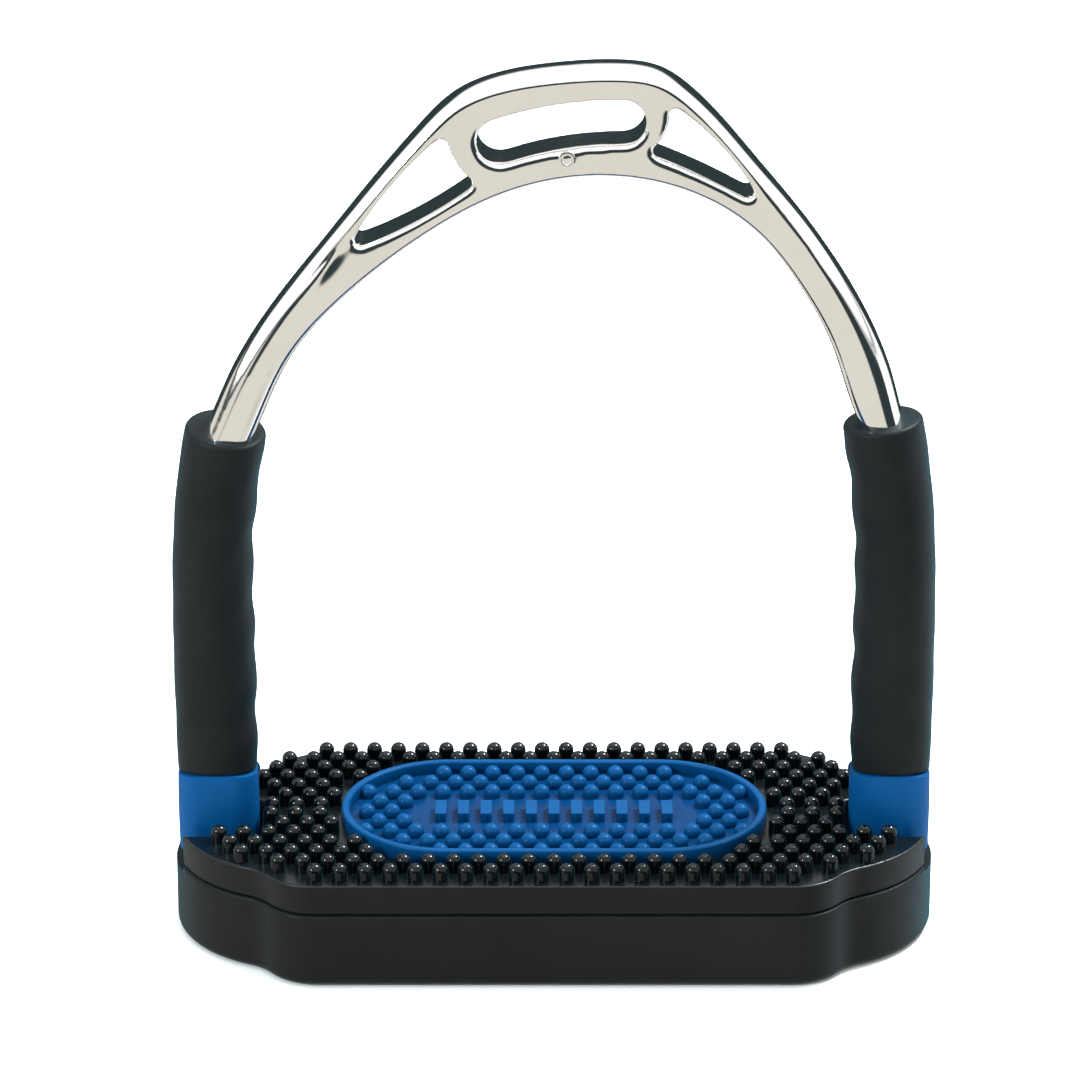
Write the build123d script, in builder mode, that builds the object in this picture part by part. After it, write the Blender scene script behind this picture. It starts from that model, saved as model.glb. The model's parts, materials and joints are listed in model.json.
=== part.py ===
"""Flexible stirrup iron with a studded tread, for one foot.

A cast steel bow carries the stirrup leather in a slot. Each of its two legs ends in a tongue that is
pinned to a short link, the link is pinned to a knuckle, and the knuckle turns on a cross pin in the
steel frame of the tread. The links let the tread sway to the side, and the knuckles let it tilt
forward and back. Rubber sleeves and collars cover the joints and pull them straight again.

Frame: X to the right, Y to the back, Z up, origin under the middle of the tread. Millimetres.
"""

from build123d import *

import os
from math import asin, degrees

# ---------------------------------------------------------------- driving dimensions
TREAD_LENGTH = 154.0  # along X, over the rounded ends
TREAD_WIDTH = 65.0  # along Y
BASE_TOP = 15.6
PAD_TOP = 22.1
ARM_X = 68.1  # centre line of each side arm

TILT_Z = 10.5  # cross pins: the tread tilts forward and back about them
LOWER_PIN_Z = 50.0
UPPER_PIN_Z = 84.0

# tread outline
END_RADIUS = 26.0  # rounded end, about a point on the X axis
END_SWEEP = 66.0  # degrees of it on each side of the X axis
FLANK_RADIUS = 11.0  # hollow between the end and the corner
CORNER_RADIUS = 12.0

# base shell
WALL = 2.2
FLOOR = 2.4
BOTTOM_ROUND = 2.0
RIM_ROUND = 0.6
ARM_RELIEF_HALF = 9.6  # half width of the dip in the rim beside each arm
ARM_RELIEF_Z = 14.5
SCREW_X, SCREW_Y = 38.0, 19.0
POST_RADIUS = 4.6
FOOT_RECESS = 0.6

# tread frame
PLATE_BOTTOM, PLATE_TOP = 13.6, 15.4
PLATE_END_X = 58.8
CLEVIS_HALF_WIDTH = 4.5
CLEVIS_OUTER_X = 74.0
CLEVIS_FLOOR = 2.6
EYE_HALF = 4.5  # half width of a knuckle's eye, along X
EYE_GAP = 0.2

# pad and insert
PAD_INSET = 0.5
GROOVE_HEIGHT = 0.5
GROOVE_DEPTH = 1.0
STUD_RADIUS = 1.6
STUD_HEIGHT = 3.6
STUD_PITCH = 5.0
STUD_ROW = 4.44
STUD_ROWS = 7  # on each side of the X axis
STUD_EDGE = 1.9  # least distance from a stud's centre to the pad's edge
NOTCH_HALF = 8.7
NOTCH_X = 59.2
POCKET_FLOOR = 18.0
INSERT_LENGTH, INSERT_WIDTH = 86.4, 44.0
INSERT_TOP = 25.2
INSERT_FIT = 0.1
RIM_WIDTH = 1.6
INSERT_FLOOR = 22.6
NUB_RADIUS = 1.7
NUB_TOP = 25.1
NUB_PITCH = 5.07
NUB_ROW = 4.63
NUB_ROWS = 4
BAR_COUNT = 11
BAR_PITCH = 4.6
BAR_SIZE = (2.2, 6.4, 1.9)
BARS_HALF_X = 26.5  # the middle rows of nubs stop here, to leave room for the bars
BARS_HALF_Y = 6.0

# joints
PIN_RADIUS = 2.0
PIN_SEAT = 0.02  # pin in the cheeks that hold it
PIN_RUNNING = 0.05  # pin in its bush
BUSH_RADIUS = 2.9
ARM_BAR_RADIUS = 6.0
CHEEK_HALF = 4.3  # outer faces of a fork
SLOT_HALF = 2.3
TONGUE_HALF = 2.15
CHEEK_ROUND = 5.8
TONGUE_ROUND = 5.2
SLOT_DEPTH = 5.5  # pin axis to the bottom of a fork's slot
SHOULDER = 6.1  # pin axis to the shoulder above a tongue
EYE_ROUND = 5.2
NECK_HALF_X, NECK_HALF_Y = 4.5, 3.6
NECK_TOP = 41.0

# rubber on the arms
COLLAR_BOTTOM, COLLAR_TOP = 16.4, 33.6
COLLAR_SIZE = (16.3, 12.5)
COLLAR_CORNER = 5.0
COLLAR_FIT = 0.05
SLEEVE_BOTTOM = 33.9
SLEEVE_FIT = 0.15

# bow
BOW_DEPTH = 12.0  # along Y, of the outer bead
OUTER_BEAD = 4.6
INNER_BEAD = 4.4
INNER_BEAD_DEPTH = 11.0
INNER_BEAD_ROUND = 1.6
WEB_THICKNESS = 10.9
LEATHER_SLOT_HEIGHT = 8.9
SLOT_RIM = 3.0
SLOT_RIM_DEPTH = 11.0
# The leg's two beads start side by side at the shoulder, inside the sleeve.
BEAD_SPREAD = 1.75
OUTER_PATH = (
    (-65.2, 108.1),
    (-60.0, 119.8),
    (-51.6, 133.3),
    (-43.6, 143.9),
    (-32.9, 157.5),
    (-24.2, 167.8),
    (-17.8, 173.9),
    (-9.4, 177.4),
    (1.8, 179.2),
    (13.3, 179.6),
    (19.6, 178.5),
    (25.0, 174.9),
    (36.9, 161.7),
    (48.6, 147.1),
    (57.7, 132.3),
    (64.0, 116.7),
    (67.2, 105.5),
)
INNER_PATH = (
    (-61.0, 108.5),
    (-54.6, 122.8),
    (-43.4, 136.3),
    (-27.2, 149.4),
    (-11.0, 158.5),
    (7.5, 162.4),
    (25.2, 159.7),
    (40.5, 150.6),
    (50.2, 138.3),
    (57.5, 124.3),
    (61.6, 112.1),
)
SLOT_ARC = ((-10.4, 167.4), (2.0, 170.4), (13.2, 171.2))
# A window's corners and, after each, a point that its next edge curves through.
LEFT_WINDOW = (
    ((-39.9, 145.4), (-28.0, 150.6)),
    ((-14.9, 159.1), (-19.2, 163.6)),
    ((-20.7, 169.0), (-30.1, 160.0)),
)
RIGHT_WINDOW = (
    ((17.4, 165.3), (30.9, 159.4)),
    ((40.2, 154.2), (32.0, 166.6)),
    ((21.2, 175.6), (20.9, 168.1)),
)
WINDOW_ROUND = 1.1
STAMP_CENTRE = (2.5, 164.1)
STAMP_RADIUS = 1.65
STAMP_FACE = 5.75  # from the middle plane to the stamp's face

SIDES = (("left", -1), ("right", 1))


def save(piece, name):
    """Labels a finished sub-part and writes its STEP file."""
    piece.part.label = name
    export_step(piece.part, f"parts/{name}.step")


def upright(x, z=0.0):
    """The XZ plane's twin with its origin at (x, 0, z): local X is +X, local Y is +Z, normal -Y."""
    return Plane(origin=(x, 0, z), x_dir=(1, 0, 0), z_dir=(0, -1, 0))


def across(x, z):
    """A plane whose normal is +X, through (x, 0, z): local X is +Y, local Y is +Z."""
    return Plane(origin=(x, 0, z), x_dir=(0, 1, 0), z_dir=(1, 0, 0))


# ---------------------------------------------------------------- tread
def tread_outline(inset=0.0):
    """The tread's plan shape, shrunk by inset, as a sketch on the XY plane."""
    end_centre = Vector(TREAD_LENGTH / 2 - END_RADIUS, 0)
    flank_centre = end_centre + Vector(END_RADIUS + FLANK_RADIUS, 0).rotate(Axis.Z, END_SWEEP)
    reach = FLANK_RADIUS + CORNER_RADIUS
    corner_y = TREAD_WIDTH / 2 - CORNER_RADIUS
    corner_angle = degrees(asin((flank_centre.Y - corner_y) / reach))
    corner_centre = flank_centre - Vector(reach, 0).rotate(Axis.Z, corner_angle)
    with BuildSketch() as outline:
        with BuildLine():
            CenterArc(end_centre, END_RADIUS - inset, 0, END_SWEEP)
            CenterArc(flank_centre, FLANK_RADIUS + inset, 180 + END_SWEEP, corner_angle - END_SWEEP)
            CenterArc(corner_centre, CORNER_RADIUS - inset, corner_angle, 90 - corner_angle)
            Line((corner_centre.X, TREAD_WIDTH / 2 - inset), (0, TREAD_WIDTH / 2 - inset))
            mirror(about=Plane.YZ)
            mirror(about=Plane.XZ)
        make_face()
    return outline.sketch


def insert_outline(grow=0.0):
    """The insert's stadium shape, as a sketch on the XY plane."""
    with BuildSketch() as outline:
        SlotOverall(INSERT_LENGTH + 2 * grow, INSERT_WIDTH + 2 * grow)
    return outline.sketch


def screw_places(z):
    """The four base screws' places, at height z."""
    return [(sx * SCREW_X, sy * SCREW_Y, z) for sx in (-1, 1) for sy in (-1, 1)]


def build_base_shell():
    """Moulded tray under the tread, with a post for each screw and stiffening ribs."""
    rib_height = PLATE_BOTTOM - FLOOR
    with BuildPart() as base_shell:
        with BuildSketch():
            add(tread_outline())
        extrude(amount=BASE_TOP)
        fillet(base_shell.faces().sort_by(Axis.Z)[0].edges(), BOTTOM_ROUND)
        with BuildSketch(Plane.XY.offset(FLOOR)):
            add(tread_outline(WALL))
        extrude(amount=BASE_TOP, mode=Mode.SUBTRACT)
        fillet(base_shell.faces().sort_by(Axis.Z)[-1].outer_wire().edges(), RIM_ROUND)
        with Locations(*screw_places(FLOOR)):
            Cylinder(POST_RADIUS, rib_height, align=(Align.CENTER, Align.CENTER, Align.MIN))
        with Locations((0, SCREW_Y, FLOOR), (0, -SCREW_Y, FLOOR)):
            Box(2 * SCREW_X, 1.6, rib_height, align=(Align.CENTER, Align.CENTER, Align.MIN))
        with Locations(*[(x, 0, FLOOR) for x in (-SCREW_X, 0, SCREW_X)]):
            Box(1.6, 2 * SCREW_Y, rib_height, align=(Align.CENTER, Align.CENTER, Align.MIN))
        with Locations((-ARM_X, 0, ARM_RELIEF_Z), (ARM_X, 0, ARM_RELIEF_Z)):
            relief_length = TREAD_LENGTH - 2 * ARM_X + 2
            Box(
                relief_length,
                2 * ARM_RELIEF_HALF,
                BASE_TOP,
                align=(Align.CENTER, Align.CENTER, Align.MIN),
                mode=Mode.SUBTRACT,
            )
        with BuildSketch():
            SlotOverall(2 * SCREW_X + 34, 2 * SCREW_Y - 14)
        extrude(amount=FOOT_RECESS, mode=Mode.SUBTRACT)
        with Locations(*[Location(place, (180, 0, 0)) for place in screw_places(0)]):
            CounterBoreHole(PIN_RADIUS + 0.2, 4.0, 3.0, depth=PLATE_BOTTOM)
    save(base_shell, "base_shell")


def build_tread_frame():
    """Steel plate inside the tread, with a clevis at each end that holds a cross pin."""
    with BuildPart() as tread_frame:
        with BuildSketch(Plane.XY.offset(PLATE_BOTTOM)):
            add(tread_outline(WALL + 1.2))
            Rectangle(2 * PLATE_END_X, TREAD_WIDTH, mode=Mode.INTERSECT)
        extrude(amount=PLATE_TOP - PLATE_BOTTOM)
        for _, side in SIDES:
            inner_x = PLATE_END_X - 2.0
            middle = side * (inner_x + CLEVIS_OUTER_X) / 2
            half = (CLEVIS_OUTER_X - inner_x) / 2
            with BuildSketch(across(middle, 0)):
                with BuildLine():
                    Polyline(
                        (CLEVIS_HALF_WIDTH, TILT_Z),
                        (CLEVIS_HALF_WIDTH, CLEVIS_FLOOR),
                        (-CLEVIS_HALF_WIDTH, CLEVIS_FLOOR),
                        (-CLEVIS_HALF_WIDTH, TILT_Z),
                    )
                    CenterArc((0, TILT_Z), CLEVIS_HALF_WIDTH, 0, 180)
                make_face()
            extrude(amount=half, both=True)
            with Locations((side * ARM_X, 0, TILT_Z - EYE_ROUND - 0.4)):
                Box(
                    2 * (EYE_HALF + EYE_GAP),
                    4 * CLEVIS_HALF_WIDTH,
                    PLATE_TOP,
                    align=(Align.CENTER, Align.CENTER, Align.MIN),
                    mode=Mode.SUBTRACT,
                )
            with BuildSketch(across(middle, TILT_Z)):
                Circle(PIN_RADIUS + PIN_SEAT)
            extrude(amount=half + 1, both=True, mode=Mode.SUBTRACT)
        with Locations(*screw_places(PLATE_TOP)):
            Hole(PIN_RADIUS, depth=PLATE_TOP - PLATE_BOTTOM)
    save(tread_frame, "tread_frame")


def build_base_screws():
    """Four socket-head screws that hold the base shell up to the frame, as one group."""
    with BuildPart() as base_screws:
        with Locations(*screw_places(FOOT_RECESS + 0.2)):
            Cylinder(3.7, 2.2, align=(Align.CENTER, Align.CENTER, Align.MIN))
        with Locations(*screw_places(FOOT_RECESS + 1.0)):
            Cylinder(
                PIN_RADIUS - 0.02,
                PLATE_TOP - FOOT_RECESS - 1.1,
                align=(Align.CENTER, Align.CENTER, Align.MIN),
            )
        with BuildSketch(Plane.XY.offset(FOOT_RECESS)):
            with Locations(*[(x, y) for x, y, _ in screw_places(0)]):
                RegularPolygon(1.7, 6)
        extrude(amount=1.6, mode=Mode.SUBTRACT)
    save(base_screws, "base_screws")


def stud_places():
    """Centres of the pad's studs: staggered rows that mirror about the X axis."""
    pad = tread_outline(PAD_INSET + STUD_EDGE)
    hole = insert_outline(STUD_RADIUS + 0.5)
    places = []
    for row in range(STUD_ROWS):
        y = (row + 0.5) * STUD_ROW
        shift = 0.5 if row % 2 == 0 else 0.0
        for column in range(-16, 17):
            x = (column + shift) * STUD_PITCH
            near_notch = abs(x) > NOTCH_X - STUD_RADIUS and y < NOTCH_HALF + STUD_RADIUS
            if near_notch or hole.face().is_inside((x, y)) or not pad.face().is_inside((x, y)):
                continue
            places += [(x, y), (x, -y)]
    return places


def build_dome(radius, bottom, top):
    """A pin with a round top, standing on the Z axis from bottom to top."""
    with BuildPart() as dome:
        with BuildSketch(Plane.XZ):
            with BuildLine():
                shoulder = (radius, top - radius)
                Polyline((0, top), (0, bottom), (radius, bottom), shoulder)
                CenterArc((0, top - radius), radius, 0, 90)
            make_face()
        revolve(axis=Axis.Z)
    return dome.part


def build_tread_pad():
    """Rubber pad with a pocket for the insert, a notch round each arm, and rows of studs."""
    stud = build_dome(STUD_RADIUS, PAD_TOP - 0.5, PAD_TOP + STUD_HEIGHT)
    with BuildPart() as tread_pad:
        with BuildSketch(Plane.XY.offset(BASE_TOP)):
            add(tread_outline(PAD_INSET + GROOVE_DEPTH))
        extrude(amount=GROOVE_HEIGHT)
        with BuildSketch(Plane.XY.offset(BASE_TOP + GROOVE_HEIGHT)):
            add(tread_outline(PAD_INSET))
        extrude(amount=PAD_TOP - BASE_TOP - GROOVE_HEIGHT)
        for _, side in SIDES:
            with BuildSketch(Plane.XY.offset(BASE_TOP)):
                with Locations((side * (NOTCH_X + 15), 0)):
                    RectangleRounded(30, 2 * NOTCH_HALF, 2.0)
            extrude(amount=PAD_TOP, mode=Mode.SUBTRACT)
        fillet(tread_pad.faces().sort_by(Axis.Z)[-1].outer_wire().edges(), 0.5)
        with BuildSketch(Plane.XY.offset(POCKET_FLOOR)):
            add(insert_outline(INSERT_FIT))
        extrude(amount=PAD_TOP, mode=Mode.SUBTRACT)
        with Locations(*stud_places()):
            add(stud)
    save(tread_pad, "tread_pad")


def nub_places():
    """Centres of the insert's nubs, with a clear band along the middle for the grip bars."""
    room = insert_outline(-RIM_WIDTH - 0.9)
    places = []
    for row in range(-NUB_ROWS, NUB_ROWS + 1):
        y = row * NUB_ROW
        shift = 0.5 if row % 2 == 0 else 0.0
        for column in range(-9, 9):
            x = (column + shift) * NUB_PITCH
            in_bars = abs(x) < BARS_HALF_X + NUB_RADIUS and abs(y) < BARS_HALF_Y
            if room.face().is_inside((x, y)) and not in_bars:
                places.append((x, y))
    return places


def build_tread_insert():
    """Coloured rubber insert: a raised rim, a field of nubs, and a row of plain grip bars."""
    nub = build_dome(NUB_RADIUS, INSERT_FLOOR - 0.4, NUB_TOP)
    with BuildPart() as tread_insert:
        with BuildSketch(Plane.XY.offset(POCKET_FLOOR)):
            add(insert_outline())
        extrude(amount=INSERT_TOP - POCKET_FLOOR)
        with BuildSketch(Plane.XY.offset(INSERT_FLOOR)):
            add(insert_outline(-RIM_WIDTH))
        extrude(amount=INSERT_TOP, mode=Mode.SUBTRACT)
        fillet(tread_insert.faces().sort_by(Axis.Z)[-1].edges(), 0.55)
        with Locations(*nub_places()):
            add(nub)
        first = -(BAR_COUNT - 1) / 2 * BAR_PITCH
        with Locations(*[(first + i * BAR_PITCH, 0, INSERT_FLOOR) for i in range(BAR_COUNT)]):
            Box(*BAR_SIZE, align=(Align.CENTER, Align.CENTER, Align.MIN))
    save(tread_insert, "tread_insert")


# ---------------------------------------------------------------- arms
def build_swivel_pin(name, side):
    """Cross pin of one arm, with a groove at its inner end for the circlip."""
    inner, outer = PLATE_END_X - 4.0, CLEVIS_OUTER_X
    with BuildPart() as swivel_pin:
        with BuildSketch(across(side * inner, TILT_Z)):
            Circle(PIN_RADIUS)
        extrude(amount=side * (outer - inner))
        with BuildSketch(across(side * (inner + 0.6), TILT_Z)):
            Circle(PIN_RADIUS + 1)
            Circle(PIN_RADIUS - 0.4, mode=Mode.SUBTRACT)
        extrude(amount=side * 0.9, mode=Mode.SUBTRACT)
    save(swivel_pin, f"{name}_swivel_pin")


def build_circlip(name, side):
    """Open ring in the swivel pin's groove."""
    inner = PLATE_END_X - 4.0
    with BuildPart() as circlip:
        with BuildSketch(across(side * (inner + 0.65), TILT_Z)):
            Circle(2.9)
            Circle(PIN_RADIUS - 0.35, mode=Mode.SUBTRACT)
            with Locations((0, -2.5)):
                Rectangle(1.8, 3.0, mode=Mode.SUBTRACT)
        extrude(amount=side * 0.8)
    save(circlip, f"{name}_circlip")


def build_knuckle(name, side):
    """Steel knuckle: an eye on the cross pin below, a neck, and a fork for the link above."""
    x = side * ARM_X
    with BuildPart() as knuckle:
        with BuildSketch(upright(x)):
            with Locations((0, (LOWER_PIN_Z + NECK_TOP) / 2)):
                Rectangle(2 * CHEEK_ROUND, LOWER_PIN_Z - NECK_TOP)
            with Locations((0, LOWER_PIN_Z)):
                Circle(CHEEK_ROUND)
        extrude(amount=CHEEK_HALF, both=True)
        with BuildSketch(Plane.XY.offset(NECK_TOP)):
            with Locations((x, 0)):
                Circle(ARM_BAR_RADIUS)
        extrude(amount=3 * CHEEK_ROUND, mode=Mode.INTERSECT)
        with BuildSketch(Plane.XY.offset(TILT_Z)):
            with Locations((x, 0)):
                RectangleRounded(2 * NECK_HALF_X, 2 * NECK_HALF_Y, 1.2)
        extrude(amount=NECK_TOP - TILT_Z + 0.5)
        with BuildSketch(across(x, TILT_Z)):
            Circle(EYE_ROUND)
        extrude(amount=EYE_HALF, both=True)
        with Locations((x, 0, LOWER_PIN_Z - SLOT_DEPTH)):
            Box(
                4 * CHEEK_ROUND,
                2 * SLOT_HALF,
                4 * CHEEK_ROUND,
                align=(Align.CENTER, Align.CENTER, Align.MIN),
                mode=Mode.SUBTRACT,
            )
        with BuildSketch(upright(x, LOWER_PIN_Z)):
            Circle(PIN_RADIUS + PIN_SEAT)
        extrude(amount=2 * CHEEK_HALF, both=True, mode=Mode.SUBTRACT)
        with BuildSketch(across(x, TILT_Z)):
            Circle(BUSH_RADIUS + PIN_SEAT)
        extrude(amount=2 * EYE_HALF, both=True, mode=Mode.SUBTRACT)
    save(knuckle, f"{name}_knuckle")


def build_link(name, side):
    """Steel link between the two side pins: a tongue below and a fork above."""
    x = side * ARM_X
    shoulder = LOWER_PIN_Z + SHOULDER
    with BuildPart() as link:
        with BuildSketch(upright(x)):
            with Locations((0, (UPPER_PIN_Z + shoulder) / 2)):
                Rectangle(2 * CHEEK_ROUND, UPPER_PIN_Z - shoulder)
            with Locations((0, UPPER_PIN_Z)):
                Circle(CHEEK_ROUND)
        extrude(amount=CHEEK_HALF, both=True)
        with BuildSketch(upright(x)):
            with Locations((0, LOWER_PIN_Z)):
                Circle(TONGUE_ROUND)
            with Locations((0, LOWER_PIN_Z + SHOULDER / 2)):
                Rectangle(2 * TONGUE_ROUND, SHOULDER)
        extrude(amount=TONGUE_HALF, both=True)
        with BuildSketch(Plane.XY.offset(LOWER_PIN_Z - TONGUE_ROUND)):
            with Locations((x, 0)):
                Circle(ARM_BAR_RADIUS)
        extrude(amount=UPPER_PIN_Z, mode=Mode.INTERSECT)
        with Locations((x, 0, UPPER_PIN_Z - SLOT_DEPTH)):
            Box(
                4 * CHEEK_ROUND,
                2 * SLOT_HALF,
                4 * CHEEK_ROUND,
                align=(Align.CENTER, Align.CENTER, Align.MIN),
                mode=Mode.SUBTRACT,
            )
        with BuildSketch(upright(x, UPPER_PIN_Z)):
            Circle(PIN_RADIUS + PIN_SEAT)
        extrude(amount=2 * CHEEK_HALF, both=True, mode=Mode.SUBTRACT)
        with BuildSketch(upright(x, LOWER_PIN_Z)):
            Circle(BUSH_RADIUS + PIN_SEAT)
        extrude(amount=2 * CHEEK_HALF, both=True, mode=Mode.SUBTRACT)
    save(link, f"{name}_link")


def build_side_pin(name, side, z):
    """Pin through a fork's cheeks, along Y."""
    with BuildPart() as side_pin:
        with BuildSketch(upright(side * ARM_X, z)):
            Circle(PIN_RADIUS)
        extrude(amount=CHEEK_HALF - 0.1, both=True)
        chamfer(side_pin.edges().filter_by(GeomType.CIRCLE), 0.3)
    save(side_pin, name)


def build_bush(name, plane, half_length):
    """Plain nylon bush round a pin, on the given plane."""
    with BuildPart() as bush:
        with BuildSketch(plane):
            Circle(BUSH_RADIUS)
            Circle(PIN_RADIUS + PIN_RUNNING, mode=Mode.SUBTRACT)
        extrude(amount=half_length, both=True)
    save(bush, name)


def build_collar(name, side):
    """Coloured rubber collar round a knuckle's neck."""
    with BuildPart() as collar:
        with BuildSketch(Plane.XY.offset(COLLAR_BOTTOM)):
            with Locations((side * ARM_X, 0)):
                RectangleRounded(*COLLAR_SIZE, COLLAR_CORNER)
                RectangleRounded(
                    2 * (NECK_HALF_X + COLLAR_FIT),
                    2 * (NECK_HALF_Y + COLLAR_FIT),
                    1.2,
                    mode=Mode.SUBTRACT,
                )
        extrude(amount=COLLAR_TOP - COLLAR_BOTTOM)
        fillet(collar.faces().sort_by(Axis.Z)[0].outer_wire().edges(), 1.0)
    save(collar, f"{name}_collar")


def build_sleeve(name, side, top_z):
    """Black rubber sleeve over one arm's two side joints, hollow where the link and leg run."""
    sections = (  # height, centre's distance inward from the arm, x radius, y radius, lean in degrees
        (SLEEVE_BOTTOM, 0.0, 8.15, 6.5, 0.0),
        (52.0, 0.0, 8.3, 7.4, 0.0),
        (80.0, 0.3, 8.3, 8.2, 1.0),
        (96.0, 1.7, 8.25, 8.25, 7.0),
        (top_z, 3.5, 8.15, 8.2, 7.5),
    )
    with BuildPart() as sleeve:
        for z, inward, x_radius, y_radius, lean in sections:
            centre = (side * (ARM_X - inward), 0, z)
            with BuildSketch(Plane(centre).rotated((0, -side * lean, 0))):
                Ellipse(x_radius, y_radius)
        loft()
        with BuildSketch(Plane.XY.offset(SLEEVE_BOTTOM - 1)):
            with Locations((side * ARM_X, 0)):
                Circle(ARM_BAR_RADIUS + SLEEVE_FIT)
                Rectangle(
                    4 * ARM_BAR_RADIUS, 2 * (CHEEK_HALF + SLEEVE_FIT), mode=Mode.INTERSECT
                )
        extrude(amount=UPPER_PIN_Z + SHOULDER + SLEEVE_FIT - SLEEVE_BOTTOM + 1, mode=Mode.SUBTRACT)
        add(arch_solid(SLEEVE_FIT), mode=Mode.SUBTRACT)
    save(sleeve, f"{name}_sleeve")


# ---------------------------------------------------------------- bow
def draw_bead(points, spread):
    """Draws a bead's middle line, from the left leg's shoulder over the arch to the right one's."""
    foot_z = UPPER_PIN_Z + SHOULDER
    return Spline(
        (-ARM_X + spread, foot_z),
        *points,
        (ARM_X - spread, foot_z),
        tangents=((0, 1), (0, -1)),
    )


def foot_plane(path):
    """The plane across a path's left end, with X across the leg."""
    return Plane(origin=path @ 0, x_dir=(1, 0, 0), z_dir=path % 0)


def window_outline(corners):
    """A rounded three-sided window, from its corners and the points between them."""
    ends = corners[1:] + corners[:1]
    with BuildSketch() as window:
        with BuildLine():
            for (start, through), (end, _) in zip(corners, ends):
                ThreePointArc(start, through, end)
        make_face()
        fillet(window.vertices(), WINDOW_ROUND)
    return window.sketch


def arch_solid(grow=0.0):
    """The bow's two beads and the web between them, with every section grown by grow."""
    with BuildLine(upright(0)) as outer:
        draw_bead(OUTER_PATH, -BEAD_SPREAD)
    with BuildLine(upright(0)) as inner:
        draw_bead(INNER_PATH, BEAD_SPREAD)
    with BuildPart() as arch:
        with BuildSketch(foot_plane(outer.line)):
            Ellipse(OUTER_BEAD / 2 + grow, BOW_DEPTH / 2 + grow)
        sweep(path=outer.line)
        with BuildSketch(foot_plane(inner.line)):
            RectangleRounded(
                INNER_BEAD + 2 * grow, INNER_BEAD_DEPTH + 2 * grow, INNER_BEAD_ROUND + grow
            )
        sweep(path=inner.line)
        with BuildSketch(upright(0)):
            with BuildLine():
                outer_edge = draw_bead(OUTER_PATH, -BEAD_SPREAD)
                inner_edge = draw_bead(INNER_PATH, BEAD_SPREAD)
                Line(outer_edge @ 0, inner_edge @ 0)
                Line(outer_edge @ 1, inner_edge @ 1)
            make_face()
        extrude(amount=WEB_THICKNESS / 2 + grow, both=True)
    return arch.part


def build_bow():
    """Cast steel bow, pierced by the leather slot and two windows, with a tongue on each leg."""
    with BuildLine() as slot_line:
        ThreePointArc(*SLOT_ARC)
    with BuildPart() as bow:
        add(arch_solid())
        with BuildSketch(upright(0)):
            SlotArc(slot_line.wire(), LEATHER_SLOT_HEIGHT + 2 * SLOT_RIM)
        extrude(amount=SLOT_RIM_DEPTH / 2, both=True)
        with BuildSketch(upright(0)):
            SlotArc(slot_line.wire(), LEATHER_SLOT_HEIGHT)
        extrude(amount=BOW_DEPTH, both=True, mode=Mode.SUBTRACT)
        for corners in (LEFT_WINDOW, RIGHT_WINDOW):
            with BuildSketch(upright(0)):
                add(window_outline(corners))
            extrude(amount=BOW_DEPTH, both=True, mode=Mode.SUBTRACT)
        for _, side in SIDES:
            with BuildSketch(upright(side * ARM_X)):
                with Locations((0, UPPER_PIN_Z)):
                    Circle(TONGUE_ROUND)
                with Locations((0, UPPER_PIN_Z + SHOULDER / 2 + 0.5)):
                    Rectangle(2 * (BEAD_SPREAD + OUTER_BEAD / 2), SHOULDER + 1)
            extrude(amount=TONGUE_HALF, both=True)
            with BuildSketch(upright(side * ARM_X, UPPER_PIN_Z)):
                Circle(BUSH_RADIUS + PIN_SEAT)
            extrude(amount=BOW_DEPTH, both=True, mode=Mode.SUBTRACT)
        with BuildSketch(upright(0)):
            with Locations(STAMP_CENTRE):
                Circle(STAMP_RADIUS)
        extrude(amount=STAMP_FACE)
        with BuildSketch(upright(0).offset(STAMP_FACE)):
            with Locations(STAMP_CENTRE):
                Circle(STAMP_RADIUS - 0.4)
                Circle(STAMP_RADIUS - 0.8, mode=Mode.SUBTRACT)
        extrude(amount=-0.25, mode=Mode.SUBTRACT)
    save(bow, "bow")


def main():
    os.makedirs("parts", exist_ok=True)
    build_base_shell()
    build_tread_frame()
    build_base_screws()
    build_tread_pad()
    build_tread_insert()
    sleeve_tops = {"left": 106.0, "right": 108.8}
    for name, side in SIDES:
        x = side * ARM_X
        build_swivel_pin(name, side)
        build_circlip(name, side)
        build_knuckle(name, side)
        build_link(name, side)
        build_side_pin(f"{name}_lower_pin", side, LOWER_PIN_Z)
        build_side_pin(f"{name}_upper_pin", side, UPPER_PIN_Z)
        build_bush(f"{name}_swivel_bush", across(x, TILT_Z), EYE_HALF)
        build_bush(f"{name}_lower_bush", upright(x, LOWER_PIN_Z), TONGUE_HALF)
        build_bush(f"{name}_upper_bush", upright(x, UPPER_PIN_Z), TONGUE_HALF)
        build_collar(name, side)
        build_sleeve(name, side, sleeve_tops[name])
    build_bow()


main()
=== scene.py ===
"""Looks for the flexible stirrup iron: polished bow, rubber sleeves and collars, studded tread.

Everything is in metres in the CAD frame: +X to the right arm, +Y to the back, +Z up. Sizes here are
written in millimetres and turned into metres by MM.
"""

import json
import math

import bmesh
import bpy
from mathutils import Matrix, Vector


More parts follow.
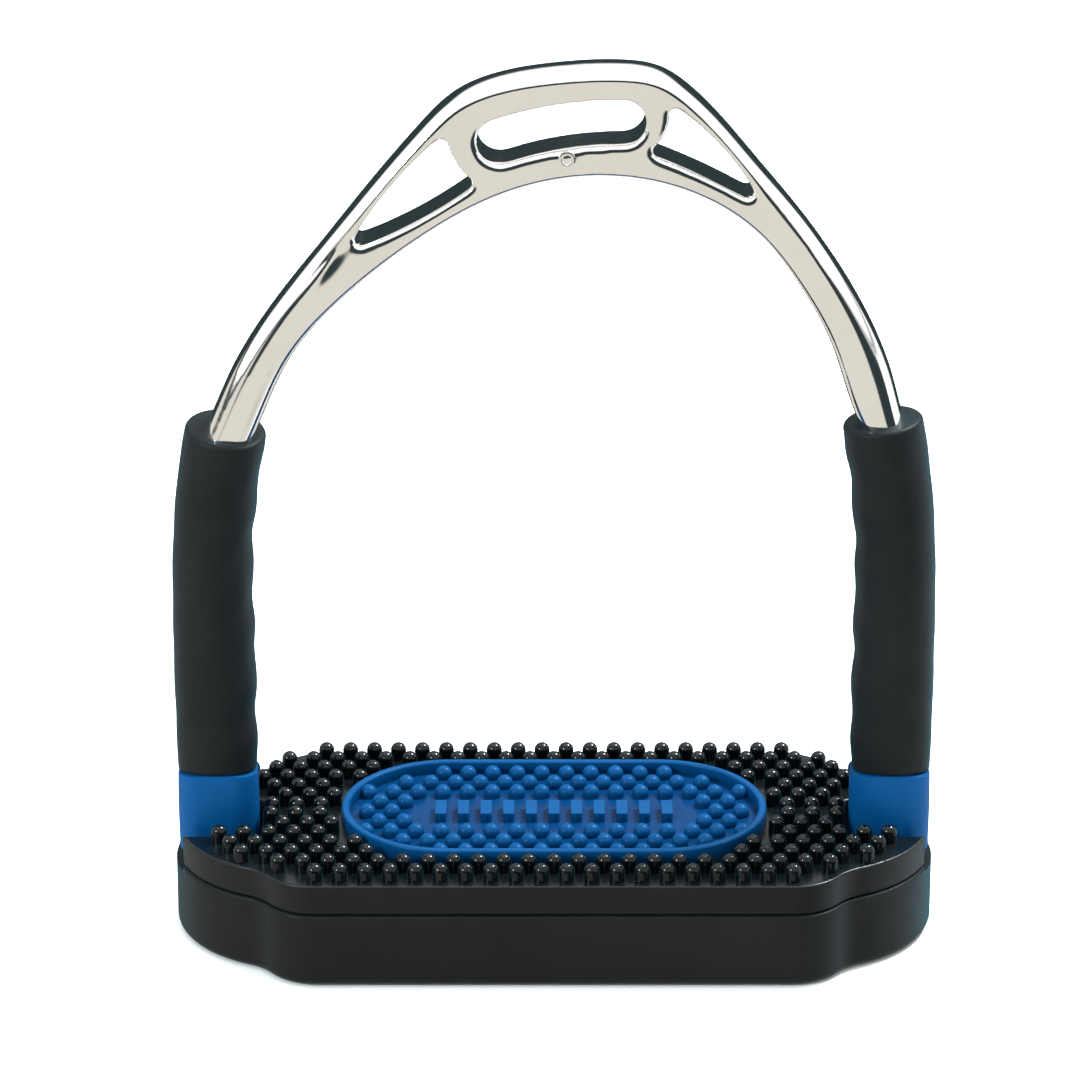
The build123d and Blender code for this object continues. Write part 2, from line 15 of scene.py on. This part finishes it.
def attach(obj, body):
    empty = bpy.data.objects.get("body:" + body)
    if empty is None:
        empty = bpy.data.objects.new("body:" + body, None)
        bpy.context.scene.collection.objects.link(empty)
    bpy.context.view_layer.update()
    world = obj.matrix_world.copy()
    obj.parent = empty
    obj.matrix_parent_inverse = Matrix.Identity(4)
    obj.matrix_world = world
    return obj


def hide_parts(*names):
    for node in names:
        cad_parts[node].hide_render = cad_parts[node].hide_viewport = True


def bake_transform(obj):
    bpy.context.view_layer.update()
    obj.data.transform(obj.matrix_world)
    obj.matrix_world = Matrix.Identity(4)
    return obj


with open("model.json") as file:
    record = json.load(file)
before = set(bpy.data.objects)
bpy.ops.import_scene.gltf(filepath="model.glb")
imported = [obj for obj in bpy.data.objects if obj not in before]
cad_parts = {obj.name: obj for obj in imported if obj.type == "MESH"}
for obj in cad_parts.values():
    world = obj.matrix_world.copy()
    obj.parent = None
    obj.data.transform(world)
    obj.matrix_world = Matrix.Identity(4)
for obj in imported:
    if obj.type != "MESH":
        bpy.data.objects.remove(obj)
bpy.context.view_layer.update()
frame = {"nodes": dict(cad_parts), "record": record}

MM = 0.001
SIDES = (("left", -1), ("right", 1))

# ---------------------------------------------------------------- driving sizes, as in the CAD
ARM_X = 68.1
PAD_TOP = 22.1
INSERT_FLOOR = 22.6
LINK_MIDDLE_Z = 67.0  # where a sleeve's two halves meet, on the stiff part of the link
COLLAR_BOTTOM, COLLAR_TOP = 16.4, 33.75
SEAM_RISE = 0.45  # the seam over a collar stands this much higher at its front and back
COLLAR_HALF = (8.15, 6.25)
COLLAR_CORNER = 5.0
NECK_HALF = (4.55, 3.65)
SLEEVE_BOTTOM = 33.85
SLEEVE_TOP = {"left": 106.0, "right": 108.8}
SLEEVE_WALL = 1.3
SEAM_HALF = (8.15, 6.4)  # a sleeve's half widths at the seam
SWELL_HEIGHT, SWELL_X, SWELL_Y = 40.0, 0.2, 2.0  # it grows wider by this over this height
CURVE_START = 70.0  # above this height a sleeve follows the bow's leg inwards
CURVE_INWARD, CURVE_LEAN = 3.5, 7.5  # by this many mm and degrees at its end
RIPPLE_START, RIPPLE_PITCH = 40.0, 12.6
LEG_HOLE_HALF = (3.9, 5.2)  # of the hole in a sleeve's end
RING_POINTS = 72
VOXEL = 0.36  # the bow's mesh size
STAMP_X, STAMP_Z, STAMP_POINTS = 2.5, 164.1, 48
# Soft hollows in the bow's faces: centre x and z, half length and half width, slope, depth.
HOLLOWS = (
    (-44.1, 143.5, 7.5, 1.9, 51.0, 0.7),
    (48.0, 149.9, 12.0, 2.2, -54.0, 0.6),
)
WEB_FACE, BEAD_FACE = 5.72, 5.98  # the hollows are full at the web's face, and gone at the bead's
LEG_ROUND_TOP, LEG_ROUND_FADE = 146.0, 26.0  # the legs turn oval over this stretch, downwards
LEG_SWELL = 0.6  # makes good what the smoothing takes off the legs
TOP_TILT = {"left": 1.0, "right": 0.0}  # a sleeve's end: its back stands this much higher
LEG_SHIFT = {"left": 0.5, "right": 0.25}  # a leg's place in the end of its sleeve, inwards
LEVEL = 0.9999  # a face whose normal's Z reaches this is level


# ---------------------------------------------------------------- mesh helpers
def new_object(name, mesh):
    piece = bpy.data.objects.new(name, mesh)
    bpy.context.scene.collection.objects.link(piece)
    return piece


def smooth_shading(mesh, sharp_angle=35.0):
    """Shades a mesh smooth, and keeps edges sharper than sharp_angle degrees crisp."""
    mesh.polygons.foreach_set("use_smooth", [True] * len(mesh.polygons))
    mesh.set_sharp_from_angle(angle=math.radians(sharp_angle))


def tube_mesh(name, rings):
    """A closed skin through rings of equal point count; the last ring joins the first."""
    count = len(rings[0])
    vertices = [point for ring in rings for point in ring]
    faces = []
    for i in range(len(rings)):
        here, there = i * count, (i + 1) % len(rings) * count
        for j in range(count):
            k = (j + 1) % count
            faces.append((here + j, here + k, there + k, there + j))
    mesh = bpy.data.meshes.new(name)
    mesh.from_pydata(vertices, [], faces)
    mesh.validate()
    made = bmesh.new()
    made.from_mesh(mesh)
    bmesh.ops.recalc_face_normals(made, faces=made.faces)
    made.to_mesh(mesh)
    made.free()
    smooth_shading(mesh)
    return mesh


def modified(piece, *modifiers):
    """Applies modifiers, given as (type, settings), to the piece's mesh."""
    for kind, settings in modifiers:
        modifier = piece.modifiers.new(kind, kind)
        for key, value in settings.items():
            setattr(modifier, key, value)
    depsgraph = bpy.context.evaluated_depsgraph_get()
    mesh = bpy.data.meshes.new_from_object(piece.evaluated_get(depsgraph))
    piece.modifiers.clear()
    piece.data = mesh
    return piece


def copy_of_node(node, name):
    """A new piece with a CAD node's shape, its doubled points merged."""
    mesh = frame["nodes"][node].data.copy()
    made = bmesh.new()
    made.from_mesh(mesh)
    bmesh.ops.remove_doubles(made, verts=made.verts, dist=1e-6)
    made.to_mesh(mesh)
    made.free()
    return new_object(name, mesh)


# ---------------------------------------------------------------- material helpers
class Graph:
    """A material's node graph, with short calls for the few nodes used here."""

    def __init__(self, name):
        self.material = bpy.data.materials.new(name)
        self.material.use_nodes = True
        self.nodes = self.material.node_tree.nodes
        self.links = self.material.node_tree.links
        self.shader = self.nodes["Principled BSDF"]
        self.place = self.nodes.new("ShaderNodeTexCoord").outputs["Object"]

    def set(self, **sockets):
        for key, value in sockets.items():
            self.shader.inputs[key.replace("_", " ")].default_value = value
        return self

    def noise(self, scale, detail=3.0, roughness=0.5, stretch=None):
        node = self.nodes.new("ShaderNodeTexNoise")
        node.inputs["Scale"].default_value = scale
        node.inputs["Detail"].default_value = detail
        node.inputs["Roughness"].default_value = roughness
        source = self.place
        if stretch:
            mapping = self.nodes.new("ShaderNodeMapping")
            mapping.inputs["Scale"].default_value = stretch
            self.links.new(self.place, mapping.inputs["Vector"])
            source = mapping.outputs["Vector"]
        self.links.new(source, node.inputs["Vector"])
        return node.outputs["Fac"]

    def ramp(self, source, low, high, start=0.3, end=0.7):
        """A colour ramp from low to high, as RGB triples."""
        node = self.nodes.new("ShaderNodeValToRGB")
        first, last = node.color_ramp.elements
        first.position, last.position = start, end
        first.color, last.color = (*low, 1.0), (*high, 1.0)
        self.links.new(source, node.inputs["Fac"])
        return node.outputs["Color"]

    def spread(self, source, low, high, start=0.3, end=0.7):
        """Maps a 0 to 1 value between low and high."""
        node = self.nodes.new("ShaderNodeMapRange")
        node.inputs["From Min"].default_value = start
        node.inputs["From Max"].default_value = end
        node.inputs["To Min"].default_value = low
        node.inputs["To Max"].default_value = high
        self.links.new(source, node.inputs["Value"])
        return node.outputs["Result"]

    def height(self):
        """The height above the tread's underside, in millimetres."""
        split = self.nodes.new("ShaderNodeSeparateXYZ")
        self.links.new(self.place, split.inputs["Vector"])
        scaled = self.nodes.new("ShaderNodeMath")
        scaled.operation = "MULTIPLY"
        scaled.inputs[1].default_value = 1 / MM
        self.links.new(split.outputs["Z"], scaled.inputs[0])
        return scaled.outputs["Value"]

    def add(self, first, second):
        node = self.nodes.new("ShaderNodeMath")
        self.links.new(first, node.inputs[0])
        self.links.new(second, node.inputs[1])
        return node.outputs["Value"]

    def colour(self, source):
        self.links.new(source, self.shader.inputs["Base Color"])
        return self

    def rough(self, source):
        self.links.new(source, self.shader.inputs["Roughness"])
        return self

    def bump(self, source, height_mm, strength=1.0):
        """Adds a bump of the given height; later calls lie on top of earlier ones."""
        node = self.nodes.new("ShaderNodeBump")
        node.inputs["Strength"].default_value = strength
        node.inputs["Distance"].default_value = height_mm * MM
        self.links.new(source, node.inputs["Height"])
        normal = self.shader.inputs["Normal"]
        if normal.links:
            self.links.new(normal.links[0].from_socket, node.inputs["Normal"])
        self.links.new(node.outputs["Normal"], normal)
        return self


def polished_steel():
    """Mirror-polished stainless steel with faint buffing haze and the soft ripple of a casting."""
    g = Graph("polished_steel").set(Metallic=1.0)
    haze = g.noise(60, 4, 0.6)
    scratches = g.noise(900, 2, 0.6, stretch=(1.0, 0.15, 1.0))
    g.colour(g.ramp(haze, (0.86, 0.855, 0.84), (0.91, 0.905, 0.89)))
    g.rough(g.spread(haze, 0.055, 0.11))
    g.bump(g.noise(45, 1, 0.4), 0.05, 0.35)
    g.bump(scratches, 0.002, 0.4)
    return g.material


def plain_steel(name, tone, roughness):
    """Machined steel inside the joints."""
    g = Graph(name).set(Metallic=1.0)
    grain = g.noise(500, 4, 0.6, stretch=(1.0, 1.0, 0.2))
    low = tuple(0.85 * c for c in tone)
    g.colour(g.ramp(grain, low, tone))
    g.rough(g.spread(grain, roughness - 0.06, roughness + 0.08))
    g.bump(grain, 0.01, 0.4)
    return g.material


def nylon():
    g = Graph("bush_nylon").set(Subsurface_Weight=0.1, IOR=1.53)
    tint = g.noise(300)
    g.colour(g.ramp(tint, (0.72, 0.70, 0.64), (0.80, 0.79, 0.74)))
    g.rough(g.spread(tint, 0.35, 0.5))
    return g.material


def moulded_plastic():
    """Fine-grained satin black plastic of the base."""
    g = Graph("base_plastic").set(IOR=1.45, Specular_IOR_Level=0.14)
    g.set(Sheen_Weight=0.10, Sheen_Roughness=0.35, Sheen_Tint=(0.05, 0.7, 1.0, 1.0))
    tone = g.noise(35, 5, 0.6)
    grain = g.noise(2600, 2, 0.5)
    g.colour(g.ramp(tone, (0.0062, 0.0065, 0.0062), (0.0090, 0.0094, 0.0090)))
    g.rough(g.spread(tone, 0.40, 0.52))
    g.bump(grain, 0.02, 0.35)
    return g.material


def stud_rubber():
    """Black rubber of the pad: satin on its side wall, and worn glossy on the studs."""
    g = Graph("pad_rubber").set(IOR=1.5, Specular_IOR_Level=0.3)
    g.set(Sheen_Weight=0.05, Sheen_Roughness=0.4, Sheen_Tint=(0.15, 0.75, 1.0, 1.0))
    tone = g.noise(120, 4, 0.6)
    grain = g.noise(1800, 3, 0.6)
    g.colour(g.ramp(tone, (0.001, 0.0016, 0.002), (0.002, 0.003, 0.0035)))
    polish = g.spread(g.height(), 0.46, 0.08, start=PAD_TOP - 0.4, end=PAD_TOP + 0.3)
    g.rough(g.add(polish, g.spread(tone, 0.0, 0.08)))
    g.bump(grain, 0.012, 0.3)
    return g.material


def coloured_rubber(name, low, high, roughness, floor=None):
    """Satin moulded rubber with a little mottling; with a floor given, painted shade makes it
    darker at the given floor's height and lighter higher up.
    """
    g = Graph(name).set(IOR=1.4, Specular_IOR_Level=0.1)
    tone = g.noise(70, 5, 0.6)
    if floor is None:
        g.colour(g.ramp(tone, low, high))
    else:
        # Painted shade: the colour is darkest at the floor's height, where the recess lies in
        # shade, and lighter on the raised tops.
        painted_recess_shade = g.spread(g.height(), 0.0, 0.8, start=floor, end=floor + 1.8)
        g.colour(g.ramp(g.add(painted_recess_shade, g.spread(tone, 0.0, 0.2)), low, high, 0.0, 1.0))
    g.rough(g.spread(tone, roughness - 0.05, roughness + 0.07))
    g.bump(g.noise(2200, 3, 0.6), 0.015, 0.3)
    return g.material


def sleeve_rubber():
    """Matt black rubber hose with a faint bloom and fine pores."""
    g = Graph("sleeve_rubber").set(IOR=1.45, Specular_IOR_Level=0.14)
    g.set(Sheen_Weight=0.11, Sheen_Roughness=0.35, Sheen_Tint=(0.05, 0.7, 1.0, 1.0))
    bloom = g.noise(55, 6, 0.65)
    pores = g.noise(1500, 4, 0.65)
    g.colour(g.ramp(bloom, (0.0062, 0.0072, 0.0076), (0.0092, 0.0105, 0.011)))
    g.rough(g.spread(bloom, 0.42, 0.56))
    g.bump(g.noise(180, 3, 0.5), 0.06, 0.4)
    g.bump(pores, 0.02, 0.4)
    return g.material


MATERIALS = {
    "bow_steel": polished_steel(),
    "frame_steel": plain_steel("frame_steel", (0.46, 0.47, 0.48), 0.36),
    "hardware_steel": plain_steel("hardware_steel", (0.58, 0.59, 0.60), 0.26),
    "bush_nylon": nylon(),
    "base_plastic": moulded_plastic(),
    "pad_rubber": stud_rubber(),
    # The insert's colour carries painted shade towards its floor and a painted lighter tone on its
    # raised tops.
    "insert_rubber": coloured_rubber(
        "insert_rubber", (0.0006, 0.027, 0.095), (0.0010, 0.058, 0.180), 0.30, INSERT_FLOOR
    ),
    "collar_rubber": coloured_rubber(
        "collar_rubber", (0.0005, 0.052, 0.168), (0.0007, 0.062, 0.20), 0.45
    ),
    "sleeve_rubber": sleeve_rubber(),
}


def finish_piece(piece, slot, body, *nodes):
    """Gives a piece the material of its slot and its body, and hides the nodes it stands for."""
    piece.data.materials.clear()
    piece.data.materials.append(MATERIALS[slot])
    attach(piece, body)
    if nodes:
        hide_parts(*nodes)
    return piece


# ---------------------------------------------------------------- CAD nodes that stay
SLOTS = {entry["node"]: entry["material_slot"] for entry in frame["record"]["subparts"]}
for node_name, node in frame["nodes"].items():
    node.data.materials.clear()
    node.data.materials.append(MATERIALS[SLOTS[node_name]])


# ---------------------------------------------------------------- bow
def build_bow():
    """The CAD bow with every edge softened as casting and polishing leave it."""
    bow = copy_of_node("bow", "polished_bow")
    modified(bow, ("REMESH", {"mode": "VOXEL", "voxel_size": VOXEL * MM}))
    legs = bow.vertex_groups.new(name="legs")
    for vertex in bow.data.vertices:
        share = (LEG_ROUND_TOP - vertex.co.z / MM) / LEG_ROUND_FADE
        if share > 0:
            legs.add([vertex.index], min(1.0, share), "REPLACE")
    modified(
        bow,
        ("SMOOTH", {"factor": 0.5, "iterations": 48}),
        ("SMOOTH", {"factor": 0.5, "iterations": 170, "vertex_group": "legs"}),
        ("DISPLACE", {"strength": LEG_SWELL * MM, "mid_level": 0.0, "vertex_group": "legs"}),
    )
    for vertex in bow.data.vertices:
        x, y, z = vertex.co / MM
        depth = sum(hollow_depth(x, z, *hollow) for hollow in HOLLOWS)
        off_bead = min(1.0, max(0.0, (BEAD_FACE - abs(y)) / (BEAD_FACE - WEB_FACE)))
        depth *= off_bead * min(1.0, abs(y) / WEB_FACE)
        vertex.co.y -= math.copysign(depth, y) * MM
    smooth_shading(bow.data, 180.0)
    finish_piece(bow, "bow_steel", "bow", "bow")


def hollow_depth(x, z, centre_x, centre_z, half_length, half_width, slope, depth):
    """How deep a soft oval hollow in the bow's faces is at a point, in mm."""
    turn = math.radians(slope)
    along = (x - centre_x) * math.cos(turn) + (z - centre_z) * math.sin(turn)
    across = (z - centre_z) * math.cos(turn) - (x - centre_x) * math.sin(turn)
    return depth * math.exp(-((along / half_length) ** 2) - (across / half_width) ** 2)


def build_stamp():
    """The plain round stamp under the slot: a rim with a dished middle."""
    profile = (  # radius and depth in front of the bow's middle
        (0.02, 5.55),
        (0.6, 5.56),
        (0.9, 5.66),
        (1.05, 5.86),
        (1.3, 5.92),
        (1.55, 5.84),
        (1.65, 5.6),
        (1.65, 5.0),
        (0.02, 5.0),
    )
    rings = []
    for radius, depth in profile:
        ring = []
        for i in range(STAMP_POINTS):
            turn = 2 * math.pi * i / STAMP_POINTS
            x, z = STAMP_X + radius * math.cos(turn), STAMP_Z + radius * math.sin(turn)
            ring.append(Vector((x, -depth, z)) * MM)
        rings.append(ring)
    stamp = new_object("round_stamp", tube_mesh("round_stamp", rings))
    finish_piece(stamp, "bow_steel", "bow")


# ---------------------------------------------------------------- arms
def sleeve_section(side, name, z):
    """A sleeve's centre, lean in degrees, half widths along X and Y, and tilt at height z."""
    curve = max(0.0, (z - CURVE_START) / (SLEEVE_TOP[name] - CURVE_START))
    inward = CURVE_INWARD * curve**2.2
    lean = CURVE_LEAN * min(1.0, curve**1.4 * 1.1)
    rise = min(1.0, max(0.0, (z - SLEEVE_BOTTOM) / SWELL_HEIGHT))
    half_x = SEAM_HALF[0] + SWELL_X * math.sin(math.pi * rise)
    half_y = SEAM_HALF[1] + SWELL_Y * rise * (2.0 - rise)
    tilt = TOP_TILT[name] * curve
    centre = Vector((side * (ARM_X - inward), 0.0, z + tilt))
    return centre, side * -lean, half_x, half_y, tilt


def ripple(side, z, angle):
    """How far the hose sinks in, in mm, where it clings to the joints under it."""
    wave = 0.5 - 0.5 * math.cos(2 * math.pi * (z - RIPPLE_START) / RIPPLE_PITCH)
    inner = 0.5 + 0.5 * math.cos(angle) * -side  # 1 on the side that faces the other arm
    shape = 0.12 + 0.42 * inner
    phase = 0.0 if side < 0 else 1.7
    return shape * wave * (0.75 + 0.25 * math.sin(z * 0.31 + phase))


def seam_lift(angle, z):
    """How far the seam's saddle shape lifts a point at this angle; it fades out in 12 mm."""
    fade = max(0.0, 1.0 - abs(z - COLLAR_TOP) / 12.0)
    return -SEAM_RISE * math.cos(2 * angle) * fade * fade


def sleeve_ring(side, name, z, inset=0.0, halves=None, lift=0.0, shift=0.0):
    """One ring of a sleeve: inset from its outer skin, or of the given half widths."""
    centre, lean, half_x, half_y, tilt = sleeve_section(side, name, z)
    centre.x -= side * shift
    turn = Matrix.Rotation(math.radians(lean), 3, "Y")
    ring = []
    for i in range(RING_POINTS):
        angle = 2 * math.pi * i / RING_POINTS
        if halves:
            reach_x, reach_y = halves
        else:
            sink = ripple(side, z, angle)
            reach_x, reach_y = half_x - inset - sink, half_y - inset - sink
        rise = lift + seam_lift(angle, z) + tilt * math.sin(angle)
        offset = turn @ Vector((reach_x * math.cos(angle), reach_y * math.sin(angle), rise))
        ring.append((centre + offset) * MM)
    return ring


def heights(low, high, step=1.0):
    """Evenly spaced heights from low to high, about step apart."""
    count = max(1, round((high - low) / step))
    return [low + (high - low) * i / count for i in range(count + 1)]


def inner_rings(side, name, start, end):
    """The rings of a sleeve's inside, from one height to another."""
    return [sleeve_ring(side, name, z, SLEEVE_WALL) for z in heights(start, end, 2)]


def finish_sleeve(name, half, rings):
    """Makes a sleeve half from its rings, gives it the sleeve rubber, and hides the CAD sleeve it
    stands for.
    """
    piece = new_object(f"{name}_sleeve_{half}", tube_mesh(f"{name}_sleeve_{half}", rings))
    piece.data.materials.append(MATERIALS["sleeve_rubber"])
    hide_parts(f"{name}_sleeve")
    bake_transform(piece)


def build_lower_sleeve(side, name):
    """The lower half of a sleeve, from the collar to the middle of the link."""
    rings = [
        sleeve_ring(side, name, SLEEVE_BOTTOM, 0.35),
        sleeve_ring(side, name, SLEEVE_BOTTOM + 0.12, 0.1),
    ]
    rings += [sleeve_ring(side, name, z) for z in heights(SLEEVE_BOTTOM + 0.4, LINK_MIDDLE_Z)]
    rings += inner_rings(side, name, LINK_MIDDLE_Z, SLEEVE_BOTTOM)
    finish_sleeve(name, "lower", rings)


def build_upper_sleeve(side, name):
    """The upper half of a sleeve, up to its rounded end round the bow's leg."""
    top, lip = SLEEVE_TOP[name], 0.9
    rings = [sleeve_ring(side, name, z) for z in heights(LINK_MIDDLE_Z, top - lip)]
    for i in range(1, 7):
        turn = math.pi / 2 * i / 6
        inset = lip * (1 - math.cos(turn))
        rings.append(sleeve_ring(side, name, top - lip, inset, lift=lip * math.sin(turn)))
    _, _, half_x, half_y, _ = sleeve_section(side, name, top)
    hole_x, hole_y = LEG_HOLE_HALF
    for share in (0.75, 0.5, 0.25, 0.0):  # 1 at the outer lip, 0 at the hole for the leg
        halves = (
            hole_x + (half_x - lip - hole_x) * share,
            hole_y + (half_y - lip - hole_y) * share,
        )
        dip = 0.25 * (1 - share) ** 2
        shift = LEG_SHIFT[name] * (1 - share)
        rings.append(sleeve_ring(side, name, top, halves=halves, lift=-dip, shift=shift))
    rings.append(sleeve_ring(side, name, top - 5, halves=(5.2, 6.3)))
    rings += inner_rings(side, name, top - 8, LINK_MIDDLE_Z)
    finish_sleeve(name, "upper", rings)


def rounded_rectangle(half_x, half_y, corner, z, centre_x):
    """A ring of points round a rounded rectangle, evenly turned."""
    ring = []
    per_corner = RING_POINTS // 4
    for quarter in range(4):
        sx = 1 if quarter in (0, 3) else -1
        sy = 1 if quarter in (0, 1) else -1
        for i in range(per_corner):
            angle = math.pi / 2 * (quarter + i / (per_corner - 1))
            x = sx * (half_x - corner) + corner * math.cos(angle)
            y = sy * (half_y - corner) + corner * math.sin(angle)
            rise = seam_lift(math.atan2(y, x), z)
            ring.append(Vector((centre_x + x, y, z + rise)) * MM)
    return ring


def build_collar(side, name):
    """A coloured collar with rounded lips and a barely swollen middle."""
    x = side * ARM_X
    rings = []
    lip = 0.8
    for i in range(6):
        turn = math.pi / 2 * i / 5
        inset = lip * (1 - math.sin(turn))
        z = COLLAR_BOTTOM + lip * (1 - math.cos(turn))
        rings.append(collar_ring(x, z, -inset))
    for z in heights(COLLAR_BOTTOM + lip + 0.8, COLLAR_TOP - 0.6, 1.5):
        share = (z - COLLAR_BOTTOM) / (COLLAR_TOP - COLLAR_BOTTOM)
        rings.append(collar_ring(x, z, -0.12 + 0.12 * math.sin(math.pi * share)))
    rings.append(collar_ring(x, COLLAR_TOP - 0.12, -0.2))
    rings.append(collar_ring(x, COLLAR_TOP, -0.45))
    rings.append(rounded_rectangle(*NECK_HALF, 1.2, COLLAR_TOP, x))
    rings.append(rounded_rectangle(*NECK_HALF, 1.2, COLLAR_BOTTOM, x))
    piece = new_object(f"{name}_collar_band", tube_mesh(f"{name}_collar_band", rings))
    finish_piece(piece, "collar_rubber", f"{name}_knuckle", f"{name}_collar")


def collar_ring(x, z, grow):
    """One ring of a collar's outer skin, that much wider than its nominal section."""
    half_x, half_y = COLLAR_HALF
    return rounded_rectangle(half_x + grow, half_y + grow, COLLAR_CORNER + grow, z, x)


# ---------------------------------------------------------------- tread
def build_tread_copies():
    """The tread's moulded parts: rounded faces shade smooth, level faces shade flat."""
    for node, name in (
        ("base_shell", "moulded_base"),
        ("tread_pad", "studded_pad"),
        ("tread_insert", "coloured_insert"),
    ):
        piece = copy_of_node(node, name)
        smooth_shading(piece.data, 32.0)
        not_level = [abs(face.normal.z) < LEVEL for face in piece.data.polygons]
        piece.data.polygons.foreach_set("use_smooth", not_level)
        modified(piece, ("WEIGHTED_NORMAL", {"keep_sharp": True, "weight": 100}))
        finish_piece(piece, SLOTS[node], "tread", node)


build_bow()
build_stamp()
for side_name, side_sign in SIDES:
    build_lower_sleeve(side_sign, side_name)
    build_upper_sleeve(side_sign, side_name)
    build_collar(side_sign, side_name)
build_tread_copies()


# ---------------------------------------------------------------- set
SUBJECT = (0.0, 0.0, 0.08)  # what the lamps aim at
COOL = (0.8, 0.97, 1.0)  # the tint of the small lamps
WALLS = (1.2, 1.2, 1.2)
SHEET = (0.80, 0.768, 0.69)  # the floor, as the gloss sees it
CARD = (0.03, 0.045, 0.05)


def build_floor():
    """A plain white floor that runs past every view."""
    mesh = bpy.data.meshes.new("floor")
    reach = 40.0
    corners = [(-reach, -reach, 0), (reach, -reach, 0), (reach, reach, 0), (-reach, reach, 0)]
    mesh.from_pydata(corners, [], [(0, 1, 2, 3)])
    floor = new_object("floor", mesh)
    floor.location.z = -0.00005
    material = bpy.data.materials.new("floor")
    material.use_nodes = True
    shader = material.node_tree.nodes["Principled BSDF"]
    shader.inputs["Base Color"].default_value = (0.93, 0.93, 0.93, 1.0)
    shader.inputs["Roughness"].default_value = 0.9
    shader.inputs["Specular IOR Level"].default_value = 0.1
    mesh.materials.append(material)
    floor.visible_glossy = False


def add_softbox(name, place, size, power, colour=(1.0, 1.0, 1.0)):
    """A rectangular area light at place, aimed at the subject."""
    light = bpy.data.lights.new(name, "AREA")
    light.shape = "RECTANGLE"
    light.size, light.size_y = size
    light.energy = power
    light.color = colour
    lamp = new_object(name, light)
    lamp.location = place
    aim = Vector(SUBJECT) - Vector(place)
    lamp.rotation_euler = aim.to_track_quat("-Z", "Y").to_euler()
    lamp.visible_camera = False


class Studio:
    """The world's node graph: what the polished steel sees around it, and the soft light."""

    def __init__(self):
        world = bpy.data.worlds.new("studio")
        bpy.context.scene.world = world
        world.use_nodes = True
        self.nodes, self.links = world.node_tree.nodes, world.node_tree.links
        self.background = self.nodes["Background"]
        self.look = self.nodes.new("ShaderNodeTexCoord").outputs["Generated"]

    def along(self, direction):
        """How far the look goes along a direction, from -1 to 1."""
        node = self.nodes.new("ShaderNodeVectorMath")
        node.operation = "DOT_PRODUCT"
        node.inputs[1].default_value = direction
        self.links.new(self.look, node.inputs[0])
        return node.outputs["Value"]

    def step(self, value, start, end):
        """0 before start, 1 past end, and smooth between; end may be lower than start."""
        node = self.nodes.new("ShaderNodeMapRange")
        node.interpolation_type = "SMOOTHSTEP"
        low, high = min(start, end), max(start, end)
        node.inputs["From Min"].default_value = low
        node.inputs["From Max"].default_value = high
        node.inputs["To Min"].default_value = 0.0 if start < end else 1.0
        node.inputs["To Max"].default_value = 1.0 if start < end else 0.0
        self.links.new(value, node.inputs["Value"])
        return node.outputs["Result"]

    def product(self, *values):
        result = values[0]
        for value in values[1:]:
            node = self.nodes.new("ShaderNodeMath")
            node.operation = "MULTIPLY"
            self.links.new(result, node.inputs[0])
            self.links.new(value, node.inputs[1])
            result = node.outputs["Value"]
        return result

    def mix(self, share, under, over):
        """Lays the colour over on top of under, a colour or a socket."""
        node = self.nodes.new("ShaderNodeMix")
        node.data_type = "RGBA"
        self.links.new(share, node.inputs["Factor"])
        if isinstance(under, tuple):
            node.inputs[6].default_value = (*under, 1.0)
        else:
            self.links.new(under, node.inputs[6])
        node.inputs[7].default_value = (*over, 1.0)
        return node.outputs[2]


def build_world():
    """White walls and ceiling over a warm floor, with black cards that draw the steel's edges."""
    s = Studio()
    up, back, right = s.along((0, 0, 1)), s.along((0, 1, 0)), s.along((1, 0, 0))
    right_front = s.along((0.66, -0.75, 0))
    # A dark line at the horizon, with the white walls over it and the floor below it.
    colour = s.mix(s.step(up, 0.07, 0.10), CARD, WALLS)
    colour = s.mix(s.step(up, 0.04, 0.01), colour, SHEET)
    # Low down on the right: a white sheet, with a dark card towards the front.
    white_sheet = s.product(s.step(right, 0.62, 0.68), s.step(up, 0.1, 0.0))
    colour = s.mix(white_sheet, colour, WALLS)
    right_card = s.product(s.step(right_front, 0.80, 0.87), s.step(up, 0.05, 0.0))
    colour = s.mix(right_card, colour, CARD)
    # A dark card in front at the tread's level, and one behind that reaches higher.
    level = s.product(s.step(up, -0.20, -0.15), s.step(up, 0.30, 0.22))
    colour = s.mix(s.product(s.step(back, -0.80, -0.88), level), colour, CARD)
    back_card = s.product(s.step(back, 0.70, 0.78), s.step(up, 0.46, 0.33))
    colour = s.mix(back_card, colour, CARD)
    s.links.new(colour, s.background.inputs["Color"])
    s.background.inputs["Strength"].default_value = 1.0


def build_camera():
    """A long lens, 22 degrees above the tread."""
    data = bpy.data.cameras.new("camera")
    data.lens = 163.3
    data.sensor_width = 36.0
    data.shift_x, data.shift_y = -14 / 1080, -10 / 1080
    data.clip_end = 200.0
    camera = new_object("camera", data)
    camera.location = (0.0, -0.9033, 0.4502)
    camera.rotation_euler = (math.radians(68.0), 0.0, 0.0)
    bpy.context.scene.camera = camera


build_floor()
build_world()
add_softbox("overhead", (0.0, 0.1, 1.4), (1.2, 0.8), 7.0)
add_softbox("spark_right", (0.42, 0.25, 0.75), (0.2, 0.2), 13.0, COOL)
add_softbox("spark_left", (-0.75, -0.65, 0.55), (0.2, 0.2), 7.0, COOL)
build_camera()
bpy.context.scene.view_settings.view_transform = "Standard"
